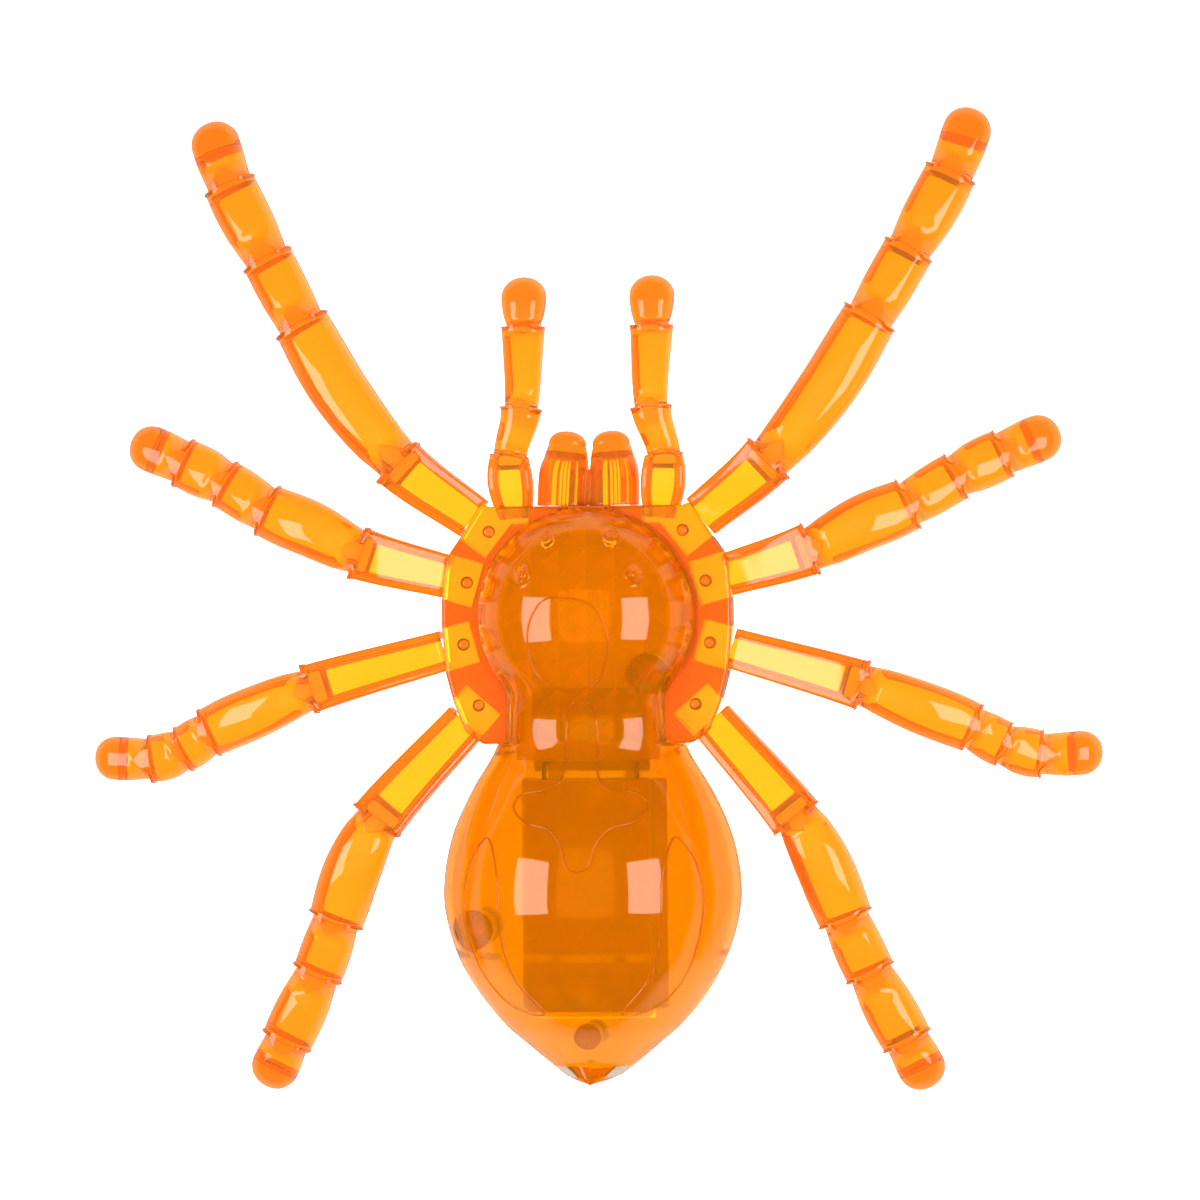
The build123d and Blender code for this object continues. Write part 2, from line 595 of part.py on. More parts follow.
board_top = BOARD_Z + BOARD_SIZE[2]
with BuildPart() as leds:
    for column in (-1, 0, 1):
        with Locations((column * LED_SPACING, LED_Y, board_top)):
            Cylinder(LED_RADIUS + LED_RIM, LED_RIM * 2, align=STANDING)
            Cylinder(LED_RADIUS, LED_HEIGHT - LED_CROWN, align=STANDING)
        with Locations((column * LED_SPACING, LED_Y, board_top + LED_HEIGHT - LED_CROWN)):
            Sphere(LED_RADIUS, arc_size1=0)
save(leds.part, "leds")

with BuildPart() as flasher_chip:
    with Locations((CHIP_PLACE[0], CHIP_PLACE[1], board_top)):
        Cylinder(CHIP_RADIUS, CHIP_HEIGHT, align=STANDING)
    fillet(flasher_chip.edges().sort_by(Axis.Z)[-1], CHIP_ROUND)
save(flasher_chip.part, "flasher_chip")

with BuildPart() as switch_body:
    with Locations((0, SWITCH_Y, BOARD_Z - SWITCH_SIZE[2])):
        Box(*SWITCH_SIZE, align=STANDING)
        Box(STEM + SWITCH_TRAVEL + 2 * PLAY, STEM + 2 * PLAY, STEM_DEPTH + PLAY,
            align=STANDING, mode=Mode.SUBTRACT)
save(switch_body.part, "switch_body")

# Switch knob at the off end of its travel
with BuildPart() as switch_knob:
    with Locations((-SWITCH_TRAVEL / 2, SWITCH_Y, GRIP_Z)):
        Box(*GRIP, align=STANDING)
        Box(STEM, STEM, BOARD_Z - SWITCH_SIZE[2] + STEM_DEPTH - GRIP_Z, align=STANDING)
save(switch_knob.part, "switch_knob")

# Jumper wires from the board's back edge to the two front contacts
for name, side in (("left_wire", -1), ("right_wire", 1)):
    with BuildPart() as wire:
        with BuildLine():
            FilletPolyline((side * WIRE_X, WIRE_Y, board_top), (side * WIRE_X, WIRE_Y, WIRE_TOP),
                           (side * WIRE_X, TRAY_FRONT + TRAY_WALL, WIRE_TOP), radius=WIRE_BEND)
        with BuildSketch(Plane.XY.offset(board_top)):
            with Locations((side * WIRE_X, WIRE_Y)):
                Circle(WIRE_RADIUS)
        sweep()
    save(wire.part, name)

# Three identical self-tapping screws, driven up from below
with BuildPart() as case_screws:
    for x, y, _ in SCREW_POSTS:
        with Locations((x, y, HEAD_SEAT_Z - HEAD_HEIGHT)):
            Cylinder(HEAD_RADIUS, HEAD_HEIGHT, align=STANDING)
            Cylinder(SHANK_RADIUS - SHANK_PLAY, HEAD_HEIGHT + SHANK_LENGTH, align=STANDING)
            Box(DRIVE_LENGTH, DRIVE_WIDTH, DRIVE_DEPTH, align=STANDING, mode=Mode.SUBTRACT)
            Box(DRIVE_WIDTH, DRIVE_LENGTH, DRIVE_DEPTH, align=STANDING, mode=Mode.SUBTRACT)
save(case_screws.part, "case_screws")
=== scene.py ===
from collections import namedtuple
from math import cos, hypot, pi, radians, sin, sqrt

import bmesh
import bpy
from mathutils import Matrix, Vector


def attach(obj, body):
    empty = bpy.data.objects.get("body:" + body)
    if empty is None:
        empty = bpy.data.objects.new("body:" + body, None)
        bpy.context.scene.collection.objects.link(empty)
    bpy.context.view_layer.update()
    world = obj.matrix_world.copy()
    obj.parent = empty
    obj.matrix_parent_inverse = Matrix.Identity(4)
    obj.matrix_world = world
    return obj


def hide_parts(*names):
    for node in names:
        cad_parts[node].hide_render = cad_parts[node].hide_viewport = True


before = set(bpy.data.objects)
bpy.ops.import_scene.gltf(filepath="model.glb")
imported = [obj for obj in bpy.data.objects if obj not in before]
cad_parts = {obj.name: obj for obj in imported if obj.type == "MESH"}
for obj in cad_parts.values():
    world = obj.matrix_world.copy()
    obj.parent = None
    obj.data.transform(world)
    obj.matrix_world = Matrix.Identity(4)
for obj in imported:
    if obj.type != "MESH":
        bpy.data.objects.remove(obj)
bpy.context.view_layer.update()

scene = bpy.context.scene
MM = 0.001
SIDES = ((1, "right"), (-1, "left"))

# ---------------------------------------------------------------- dimensions, in millimetres as in CAD

# Top shell: a dome over the ring, and an abdomen that is half round over the parting line
RIM_Z = 8.0
RING_TOP = 20.0
DOME_Y = -3.8
DOME_RADIUS = 28.0
DOME_HEIGHT = 22.0
ABDOMEN_FRONT = -12.0
NECK_Y = -37.0
NECK_STEP = 1.2
TAIL_Y = -124.6
SHELL_WALL = 2.0
SEAT_GAP = 0.1
WAIST_BLEND = 3.0
SADDLE_BLEND = 5.0
# Behind TAIL_START the inner face takes the outline of a place further forward, by this share of its inset, so
# the wall thins towards the tail's tip, where the inner face stays open
TAIL_START = -90.0
TAIL_SHARE = 0.8
# The abdomen's outline in plan: y and half-width
ABDOMEN_SIDE = [(-24, 23.5), (-37, 24.5), (-48.5, 31), (-61, 36.5), (-75.5, 38.7), (-86.7, 36.8),
                (-96.1, 32.9), (-108.5, 24), (-114.8, 17), (-121, 9.4), (-123.5, 5.2), (-124.6, 0)]
SHELL_MIDDLE = -50.0
SHELL_ROWS = 90
SHELL_STEPS = 120

# Eye bumps on the dome: x and y of the right-hand ones
EYES = [(14.3, 6.9), (8.2, 16.0)]
EYE_RADIUS = 2.2
EYE_SWELL = 1.25
EYE_EDGE = 4

# Screw bosses: x, y and radius
SCREW_POSTS = [(16.0, -18.5, 4.8), (-29.0, -84.0, 4.6), (0.0, -111.4, 3.2)]
POST_TOP = 14.0
BOSS_CHAMFER = 0.3
BOSS_FLARE = 2.0
BOSS_SINK = 0.6
LATHE_SIDES = 32

# Legs: girth and stations (x, y, underside height) from the ring to the toe
LEGS = {
    1: (1.0, [(29.5, 21.6, 10.3), (47.5, 35.8, 19.0), (62.2, 53.4, 18.5), (73.4, 71.9, 15.0),
              (83.2, 89.3, 9.5), (94.0, 109.3, 4.0), (100.3, 126.4, 0.0)]),
    2: (0.97, [(36.3, 6.6, 10.3), (58.0, 12.8, 19.0), (71.1, 19.2, 18.5), (82.8, 24.1, 14.5),
               (94.9, 31.2, 9.0), (106.8, 37.0, 4.0), (121.4, 43.3, 0.0)]),
    3: (0.91, [(37.3, -12.4, 10.3), (71.0, -21.9, 20.0), (85.4, -27.6, 18.5), (98.8, -33.2, 14.0),
               (106.6, -37.6, 9.0), (116.0, -40.3, 4.0), (131.9, -39.9, 0.0)]),
    4: (0.98, [(31.8, -30.8, 10.3), (53.9, -55.7, 19.0), (60.4, -67.3, 18.5), (65.9, -81.6, 14.5),
               (71.8, -95.9, 9.0), (80.9, -113.9, 4.0), (87.1, -126.4, 0.0)]),
}
PALP = [(18.8, 21.4, 10.3), (20.0, 37.5, 12.0), (16.9, 49.5, 13.0), (16.7, 70.9, 8.0), (16.7, 84.4, 5.0)]
FANG = [(6.8, 24.65, 8.5), (6.5, 33.0, 6.0), (6.1, 36.5, 5.2), (5.4, 44.2, 5.6)]
FANG_BRIDGE = [(0, 24.8, 8.5), (0, 34.0, 7.8)]

# One moulded segment of a limb, between two of its stations: the widths at its start, middle and end, the
# arch's crown as a share of the height and its squareness, the number of rings, where along its length the
# cavity starts and ends, and how much of the height the cavity takes
Segment = namedtuple("Segment", "start end widths crown power steps hollow depth")
LEG_SEGMENTS = [
    Segment(0, 1, (10.8, 11.8, 13.0), 0.14, 4.0, 24, (0.0, 0.86), 0.95),
    Segment(1, 3, (10.8, 14.0, 13.4), 0.62, 2.3, 30, (0.12, 0.95), 0.7),
    Segment(3, 4, (11.2, 12.4, 12.4), 0.62, 2.3, 16, (0.25, 0.9), 0.6),
    Segment(4, 5, (10.6, 12.8, 12.6), 0.62, 2.3, 16, (0.25, 0.9), 0.6),
    Segment(5, 6, (10.8, 11.8, 11.4), 0.62, 2.3, 16, (0.25, 0.8), 0.6),
]
PALP_SEGMENTS = [
    Segment(0, 1, (7.4, 11.0, 9.4), 0.2, 3.5, 20, (0.0, 0.8), 1.0),
    Segment(1, 2, (8.4, 9.0, 10.4), 0.6, 2.3, 12, (0.3, 0.7), 0.4),
    Segment(2, 3, (8.4, 9.6, 11.0), 0.55, 2.3, 16, (0.1, 0.9), 0.5),
    Segment(3, 4, (8.6, 11.4, 11.2), 0.62, 2.2, 14, (0.3, 0.5), 0.4),
]
HEIGHT_RATIO = 0.72
FULLNESS = 1.06

# Cavity: how fast it fades at a segment's ends and towards the toe, in shares of a segment, and its least
# sizes: shares of its full depth and of the width, and a height
CAVITY_EDGE = 0.06
CAVITY_FADE = 0.25
LEAST_DEPTH = 0.35
LEAST_HALF = 0.12
LEAST_HEIGHT = 0.02
INNER_CROWN = 0.9

# Collar between two segments: shares of a segment at which its lip ends, its edge ends and the next
# segment starts
LIP_END = 0.02
EDGE_END = 0.03
COLLAR_END = 0.034
COLLAR_CLEAR = 0.03
LIP_RISE = 0.6
EDGE_WIDTH = 0.3
TONGUE_REACH = 0.30
TONGUE_POWER = 0.8

# Rounded end of a limb
CAP_STEPS = 11
CAP_LEAST = 0.03
CAP_WIDTH_POWER = 0.9
CAP_HEIGHT_POWER = 0.7
CAP_END_HEIGHT = 0.25

# Fangs: widths and heights by station, from the tip back to the root
FANG_WIDTHS = [(3, 6.4), (2.5, 9.4), (2, 11.2), (1, 12.4), (0, 12.4)]
FANG_HEIGHTS = [(3, 6.0), (2, 9.6), (1, 11.5), (0, 11.0)]
FANG_STEPS = 12
FANG_SOLID_FROM = 2.3
FANG_FADE = 0.4
FANG_LEAST_DEPTH = 0.2
FANG_RIBS = (2, 0.7)
BRIDGE_STEPS = 6
BRIDGE_WIDTH = 3.4
BRIDGE_BULGE = 0.6

# Pegs that hold the legs in the ring: distance from the leg's root, then heights and radii
PEG_PLACE = 5.6
PEG_LEVELS = [(17.2, 1.6), (18.1, 1.6), (18.2, 1.25), (19.6, 1.25), (19.9, 1.0), (20.0, 0.5)]

# Thin raised lines moulded on the top shell: plain loops
LOOP = [(-4.0, 1.0), (3.0, -0.5), (7.0, -6.0), (7.5, -13.0), (4.5, -20.5), (-2.0, -22.5), (-9.0, -20.5),
        (-12.5, -14.0), (-12.5, -6.0), (-9.0, 0.0)]
LOBES = [(0.0, -25.5), (3.0, -27.0), (4.0, -34.0), (4.5, -44.0), (8.0, -47.5), (15.0, -49.0), (17.0, -52.5),
         (13.5, -56.0), (8.0, -57.5), (4.5, -61.5), (3.0, -66.5), (0.0, -68.0)]
SIDE_LOOP = [(24.0, -60.0), (29.5, -68.0), (30.5, -80.0), (26.5, -94.0), (19.0, -103.0), (10.0, -105.0),
             (17.0, -96.0), (20.5, -84.0), (21.0, -70.0)]
LINE_RADIUS = 0.28
LINE_LIFT = 0.2
LINE_STEPS = 16


# ---------------------------------------------------------------- curves and meshes

def smooth_step(value):
    """0 to 1 with flat ends."""
    t = min(max(value, 0.0), 1.0)
    return t * t * (3 - 2 * t)


def soft_max(a, b, radius):
    """The larger of two values, with the corner between them rounded."""
    spread = max(radius - abs(a - b), 0.0) / radius
    return max(a, b) + spread * spread * radius / 4


def hermite(start, start_slope, end, end_slope, u):
    """Cubic from start to end with the given slopes."""
    return ((2 * u ** 3 - 3 * u ** 2 + 1) * start + (u ** 3 - 2 * u ** 2 + u) * start_slope
            + (3 * u ** 2 - 2 * u ** 3) * end + (u ** 3 - u ** 2) * end_slope)


def spline_value(points, x):
    """Smooth interpolation through (x, value) pairs whose x falls from first to last."""
    if x >= points[0][0]:
        return points[0][1]
    if x <= points[-1][0]:
        return points[-1][1]
    index = next(i for i in range(len(points) - 1) if points[i + 1][0] <= x)
    (x0, y0), (x1, y1) = points[index], points[index + 1]

    def slope(i):
        before, after = points[max(i - 1, 0)], points[min(i + 1, len(points) - 1)]
        return (after[1] - before[1]) / (after[0] - before[0])

    return hermite(y0, slope(index) * (x1 - x0), y1, slope(index + 1) * (x1 - x0), (x - x0) / (x1 - x0))


def make_object(name, verts, faces, material, nodes=()):
    """A finished piece from vertices in millimetres, with its normals outward."""
    mesh = bpy.data.meshes.new(name)
    mesh.from_pydata([(x * MM, y * MM, z * MM) for x, y, z in verts], [], faces)
    mesh.validate()
    cleaned = bmesh.new()
    cleaned.from_mesh(mesh)
    bmesh.ops.remove_doubles(cleaned, verts=cleaned.verts, dist=1e-6)
    bmesh.ops.recalc_face_normals(cleaned, faces=cleaned.faces)
    if cleaned.calc_volume(signed=True) < 0:
        bmesh.ops.reverse_faces(cleaned, faces=cleaned.faces)
    cleaned.to_mesh(mesh)
    cleaned.free()
    for polygon in mesh.polygons:
        polygon.use_smooth = True
    piece = bpy.data.objects.new(name, mesh)
    scene.collection.objects.link(piece)
    mesh.materials.append(material)
    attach(piece, "spider")
    if nodes:
        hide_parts(*nodes)


# ---------------------------------------------------------------- materials

# Blue is absorbed this many times as strongly as green, and red this strongly, per metre
BLUE_SHARE = 8.0
RED_LOSS = 1.0
PLASTIC_IOR = 1.5
COAT_ROUGHNESS = 0.015
COLOUR_SPREAD = 0.15


def new_material(name):
    """A material with its nodes, its links and its shader."""
    material = bpy.data.materials.new(name)
    material.use_nodes = True
    nodes = material.node_tree.nodes
    return material, nodes, material.node_tree.links, nodes["Principled BSDF"]


def uneven_surface(nodes, links, shader, scale, detail, roughness, strength, distance):
    """Roughness between two values and a faint ripple, both from one noise, which is returned."""
    place = nodes.new("ShaderNodeTexCoord")
    cloud = nodes.new("ShaderNodeTexNoise")
    cloud.inputs["Scale"].default_value = scale
    cloud.inputs["Detail"].default_value = detail
    links.new(place.outputs["Object"], cloud.inputs["Vector"])
    spread = nodes.new("ShaderNodeMapRange")
    spread.inputs["To Min"].default_value, spread.inputs["To Max"].default_value = roughness
    links.new(cloud.outputs["Fac"], spread.inputs["Value"])
    links.new(spread.outputs["Result"], shader.inputs["Roughness"])
    ripple = nodes.new("ShaderNodeBump")
    ripple.inputs["Strength"].default_value = strength
    ripple.inputs["Distance"].default_value = distance
    links.new(cloud.outputs["Fac"], ripple.inputs["Height"])
    links.new(ripple.outputs["Normal"], shader.inputs["Normal"])
    return cloud.outputs["Fac"]


def see_through(name, tint, green, milk, roughness, coat=0.0):
    """Tinted clear plastic with absorption in depth. Green is how strongly green light is absorbed, per
    metre, and milk is the share of light that the surface scatters."""
    material, nodes, links, shader = new_material(name)
    shader.inputs["Base Color"].default_value = (*tint, 1)
    shader.inputs["Transmission Weight"].default_value = 1.0 - milk
    shader.inputs["IOR"].default_value = PLASTIC_IOR
    shader.inputs["Coat Weight"].default_value = coat
    shader.inputs["Coat Roughness"].default_value = COAT_ROUGHNESS
    uneven_surface(nodes, links, shader, scale=60.0, detail=3.0, roughness=(roughness * 0.7, roughness * 1.5),
                   strength=0.03, distance=0.0004)
    depth = nodes.new("ShaderNodeVolumeAbsorption")
    density = green * BLUE_SHARE
    depth.inputs["Color"].default_value = (1 - RED_LOSS / density, 1 - green / density, 0.0, 1)
    depth.inputs["Density"].default_value = density
    links.new(depth.outputs["Volume"], nodes["Material Output"].inputs["Volume"])
    return material


def opaque(name, colour, roughness, metallic=0.0):
    """A solid material whose colour and roughness vary a little."""
    material, nodes, links, shader = new_material(name)
    shader.inputs["Metallic"].default_value = metallic
    pattern = uneven_surface(nodes, links, shader, scale=400.0, detail=4.0,
                             roughness=(roughness * 0.75, min(roughness * 1.25, 1.0)),
                             strength=0.05, distance=0.0002)
    blend = nodes.new("ShaderNodeMix")
    blend.data_type = "RGBA"
    blend.inputs["A"].default_value = (*[c * (1 - COLOUR_SPREAD) for c in colour], 1)
    blend.inputs["B"].default_value = (*[min(c * (1 + COLOUR_SPREAD), 1.0) for c in colour], 1)
    links.new(pattern, blend.inputs["Factor"])
    links.new(blend.outputs["Result"], shader.inputs["Base Color"])
    return material


shell_plastic = see_through("shell_plastic", (1.0, 0.40, 0.002), green=60.0, milk=0.22, roughness=0.035,
                            coat=0.1)
ring_plastic = see_through("ring_plastic", (1.0, 0.70, 0.05), green=190.0, milk=0.12, roughness=0.06,
                           coat=0.1)
belly_plastic = see_through("belly_plastic", (1.0, 0.82, 0.30), green=15.0, milk=0.5, roughness=0.3)
lens_plastic = see_through("lens_plastic", (1.0, 0.80, 0.28), green=60.0, milk=0.4, roughness=0.02)
tray_plastic = see_through("tray_plastic", (1.0, 0.75, 0.25), green=20.0, milk=0.5, roughness=0.3)
limb_plastic = see_through("limb_plastic", (1.0, 0.46, 0.04), green=230.0, milk=0.25, roughness=0.07,
                           coat=0.1)

kept_nodes = {
    "carapace_ring": ring_plastic,
    "belly_shell": belly_plastic,
    "battery_door": belly_plastic,
    "lens_plate": lens_plastic,
    "battery_tray": tray_plastic,
    "left_cell": opaque("cell_film_a", (0.82, 0.80, 0.74), 0.35),
    "right_cell": opaque("cell_film_b", (0.82, 0.80, 0.74), 0.35),
    "contact_plates": opaque("nickel", (0.72, 0.70, 0.66), 0.3, metallic=1.0),
    "cell_springs": opaque("spring_wire", (0.70, 0.69, 0.66), 0.3, metallic=1.0),
    "circuit_board": opaque("laminate", (0.80, 0.68, 0.40), 0.5),
    "leds": opaque("led_resin", (0.9, 0.88, 0.82), 0.15),
    "flasher_chip": opaque("chip_resin", (0.03, 0.03, 0.03), 0.4),
    "switch_body": opaque("switch_shell", (0.2, 0.2, 0.2), 0.4),
    "switch_knob": opaque("knob_plastic", (0.04, 0.04, 0.045), 0.4),
    "left_wire": opaque("black_sleeve", (0.03, 0.03, 0.03), 0.5),
    "right_wire": opaque("red_sleeve", (0.5, 0.03, 0.02), 0.5),
    "case_screws": opaque("zinc_screw", (0.86, 0.80, 0.72), 0.45, metallic=0.4),
}
for node, material in kept_nodes.items():
    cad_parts[node].data.materials[0] = material


# ---------------------------------------------------------------- limbs

# One cross-section of a limb: its place on the path in stations, the arch's width, height, crown share and
# squareness, how far its middle reaches towards the tip, and the cavity's share of the height
Ring = namedtuple("Ring", "t width height crown power tongue cavity")


def arch_profile(half, height, crown, power, steps):
    """Points of an arch from its left foot over the top to its right foot."""
    points = [(-half, 0.0), (-half, (height - crown) * 0.5)]
    for step in range(steps + 1):
        angle = pi * (1 - step / steps)
        c, s = cos(angle), sin(angle)
        across = half * abs(c) ** (2 / power) * (1 if c >= 0 else -1)
        points.append((across, height - crown + crown * abs(s) ** (2 / power)))
    return points + [(half, (height - crown) * 0.5), (half, 0.0)]


def path_point(stations, t):
    """A smooth path's position and plan heading at t, where whole numbers are stations."""
    last = len(stations) - 1
    index = min(max(int(t), 0), last - 1)
    u = t - index
    p1, p2 = Vector(stations[index]), Vector(stations[index + 1])
    p0 = Vector(stations[index - 1]) if index > 0 else p1 * 2 - p2
    p3 = Vector(stations[index + 2]) if index + 2 <= last else p2 * 2 - p1
    length = (p2 - p1).length
    m1 = (p2 - p0).normalized() * length
    m2 = (p3 - p1).normalized() * length
    slope = ((6 * u ** 2 - 6 * u) * p1 + (3 * u ** 2 - 4 * u + 1) * m1
             + (6 * u - 6 * u ** 2) * p2 + (3 * u ** 2 - 2 * u) * m2)
    return hermite(p1, m1, p2, m2, u), Vector((slope.x, slope.y, 0)).normalized()


def cavity_profile(ring, wall, roof, steps, ribs):
    """The inner arch of a ring. Ribs are their number on each side and their depth."""
    half = max(ring.width / 2 - wall, ring.width * LEAST_HALF)
    height = max((ring.height - roof) * ring.cavity, LEAST_HEIGHT)
    crown = min(height, ring.height * ring.crown) * INNER_CROWN
    inner = arch_profile(half, height, crown, ring.power, steps)
    if ribs:
        number, depth = ribs
        inner = [(across, up - depth * min(ring.cavity, 1) * (0.5 - 0.5 * cos(2 * pi * number * across / half))
                  * (up > height * 0.6)) for across, up in inner]
    return inner


def limb_mesh(stations, rings, wall, roof, steps, ribs=None):
    """A hollow limb swept along its stations through its rings, open below."""
    verts, faces = [], []
    for ring in rings:
        outer = arch_profile(ring.width / 2, ring.height, ring.height * ring.crown, ring.power, steps)
        inner = cavity_profile(ring, wall, roof, steps, ribs)
        for across, up in outer + inner[::-1]:
            middle = max(0.0, 1 - abs(across) / (ring.width * TONGUE_REACH)) ** TONGUE_POWER
            reach = ring.tongue * middle * (up > ring.height * 0.5)
            place, heading = path_point(stations, ring.t + reach)
            side = Vector((-heading.y, heading.x, 0))
            verts.append(place + side * across + Vector((0, 0, up)))
    count = len(verts) // len(rings)
    for row in range(len(rings) - 1):
        for k in range(count):
            a, b = row * count + k, row * count + (k + 1) % count
            faces.append((a, b, b + count, a + count))
    for base in (0, (len(rings) - 1) * count):
        for k in range(count // 2 - 1):
            faces.append((base + k, base + k + 1, base + count - 2 - k, base + count - 1 - k))
    return verts, faces


def segment_rings(segment, girth):
    """Rings of one segment, with a smooth bulge through its three widths."""
    rings = []
    w0, w1, w2 = segment.widths
    opening, closing = segment.hollow
    for step in range(segment.steps + 1):
        u = step / segment.steps
        width = girth * (w0 * (1 - u) * (1 - 2 * u) + 4 * w1 * u * (1 - u) + w2 * u * (2 * u - 1))
        cavity = smooth_step((u - opening) / CAVITY_EDGE + 1) * smooth_step((closing - u) / CAVITY_EDGE + 1)
        rings.append(Ring(segment.start + (segment.end - segment.start) * u, width, width * HEIGHT_RATIO,
                          segment.crown, segment.power, 0.0, segment.depth * max(cavity, LEAST_DEPTH)))
    return rings


def jointed_rings(segments, girth, lip, tongue):
    """Rings of a whole limb: each segment ends in a thick collar and steps down to the next."""
    rings = segment_rings(segments[0], girth)
    for segment in segments[1:]:
        following = segment_rings(segment, girth)
        collar = rings[-1]._replace(tongue=tongue)
        lipped = collar._replace(width=collar.width + lip, height=collar.height + lip * LIP_RISE)
        end = collar.t + COLLAR_END
        rings += [lipped, lipped._replace(t=collar.t + LIP_END),
                  collar._replace(t=collar.t + EDGE_END, width=collar.width + lip * EDGE_WIDTH),
                  following[0]._replace(t=end, tongue=tongue, cavity=collar.cavity)]
        rings += [ring for ring in following if ring.t > end + tongue + COLLAR_CLEAR]
    return rings


def limb(name, stations, rings, wall, roof, rounding, solid_from, nodes, steps=18, ribs=None):
    """Right and left copies of one limb with a rounded end, solid from a station onwards."""
    last = len(stations) - 1
    cap = rounding / (Vector(stations[-1]) - Vector(stations[-2])).length
    rings = [ring._replace(cavity=ring.cavity * (1 - smooth_step((ring.t - solid_from) / CAVITY_FADE + 1)))
             for ring in rings if ring.t < last - cap]
    base = rings[-1]._replace(tongue=0.0, cavity=0.0)
    for step in range(1, CAP_STEPS + 1):
        angle = step / CAP_STEPS * pi / 2
        shrink = max(cos(angle), CAP_LEAST)
        height = base.height * (CAP_END_HEIGHT + (1 - CAP_END_HEIGHT) * shrink ** CAP_HEIGHT_POWER)
        width = base.width * shrink ** CAP_WIDTH_POWER
        rings.append(base._replace(t=last - cap + cap * sin(angle), width=width, height=height))
    verts, faces = limb_mesh(stations, rings, wall, roof, steps, ribs)
    for side, label in SIDES:
        placed = [(side * v.x, v.y, v.z) for v in verts]
        make_object(f"{label}_{name}_skin", placed, faces, limb_plastic,
                    nodes=[node.format(label) for node in nodes])


for number, (cad_girth, stations) in LEGS.items():
    girth = cad_girth * FULLNESS
    limb(f"leg_{number}", stations, jointed_rings(LEG_SEGMENTS, girth, lip=0.8, tongue=0.26),
         wall=2.0, roof=1.2, rounding=6.0 * girth, solid_from=5.6, nodes=["{}_leg_" + str(number)])

limb("palp", PALP, jointed_rings(PALP_SEGMENTS, 1.0, lip=0.4, tongue=0.1), wall=1.8, roof=1.2,
     rounding=5.6, solid_from=3.2, nodes=["{}_palp"])

fang_rings = []
for step in range((len(FANG) - 1) * FANG_STEPS):
    t = step / FANG_STEPS
    cavity = max(smooth_step((FANG_SOLID_FROM - t) / FANG_FADE), FANG_LEAST_DEPTH)
    fang_rings.append(Ring(t, spline_value(FANG_WIDTHS, t), spline_value(FANG_HEIGHTS, t), crown=0.55,
                           power=2.4, tongue=0.0, cavity=cavity))
limb("fang", FANG, fang_rings, wall=2.2, roof=1.6, rounding=3.4, solid_from=2.6, nodes=["chelicerae"],
     steps=60, ribs=FANG_RIBS)

bridge_rings = []
for step in range(BRIDGE_STEPS + 1):
    t = step / BRIDGE_STEPS
    bridge_rings.append(Ring(t, width=BRIDGE_WIDTH + BRIDGE_BULGE * sin(t * pi), height=7.0, crown=0.3,
                             power=3.0, tongue=0.0, cavity=0.3))
verts, faces = limb_mesh(FANG_BRIDGE, bridge_rings, wall=1.2, roof=1.2, steps=12)
make_object("fang_bridge", verts, faces, limb_plastic, nodes=["chelicerae"])


# ---------------------------------------------------------------- body shell

def body_section(y, inset):
    """Half-width at the foot, foot height and top height of the shell at y. The top is never below the ring's."""
    dome = DOME_RADIUS - inset
    away = abs(y - DOME_Y) / dome
    arch = sqrt(max(1 - away * away, 0.0))
    dome_half, dome_top = dome * arch, RING_TOP + (DOME_HEIGHT - inset) * arch
    radius = max(spline_value(ABDOMEN_SIDE, y + (inset * TAIL_SHARE if y < TAIL_START else 0)) - inset, 0.0)
    low = smooth_step((NECK_Y + NECK_STEP / 2 - y) / NECK_STEP)
    foot = SEAT_GAP + RING_TOP + (RIM_Z - RING_TOP) * low
    rise = foot - RIM_Z
    body_half = sqrt(max(radius * radius - rise * rise, 0.0))
    body_top = RIM_Z + radius
    if y > ABDOMEN_FRONT:
        body_half, body_top = 0.0, RING_TOP
    if y > DOME_Y + dome or y < DOME_Y - dome:
        dome_half, dome_top = 0.0, RING_TOP
    if dome_half and body_half:
        return soft_max(dome_half, body_half, WAIST_BLEND), foot, soft_max(dome_top, body_top, SADDLE_BLEND)
    return max(dome_half, body_half), foot, max(dome_top, body_top)


def shell_rows(inset):
    """Places along the body where the shell is sectioned, denser at both ends."""
    front, back = DOME_Y + DOME_RADIUS - inset, TAIL_Y + inset
    rows = [SHELL_MIDDLE + (front - SHELL_MIDDLE) * sin((1 - step / SHELL_ROWS) * pi / 2)
            for step in range(SHELL_ROWS)]
    return rows + [SHELL_MIDDLE + (back - SHELL_MIDDLE) * sin(step / SHELL_ROWS * pi / 2)
                   for step in range(SHELL_ROWS + 1)]


def eye_rise(dx, dy):
    """Height that an eye bump adds at an offset from its middle."""
    apart = hypot(dx, dy) / EYE_RADIUS
    if apart >= 1:
        return 0.0
    return EYE_SWELL * EYE_RADIUS * (1 - apart * apart) ** 0.5 * smooth_step((1 - apart) * EYE_EDGE)


def shell_surface(inset):
    """Vertices of the outer face, or of the inner face at an inset, row by row."""
    verts = []
    for y in shell_rows(inset):
        half, foot, top = body_section(y, inset)
        for step in range(SHELL_STEPS + 1):
            angle = pi * step / SHELL_STEPS
            x, z = half * cos(angle), foot + (top - foot) * sin(angle)
            if not inset:
                z += sum(eye_rise(abs(x) - eye_x, y - eye_y) for eye_x, eye_y in EYES)
            verts.append((x, y, z))
    return verts


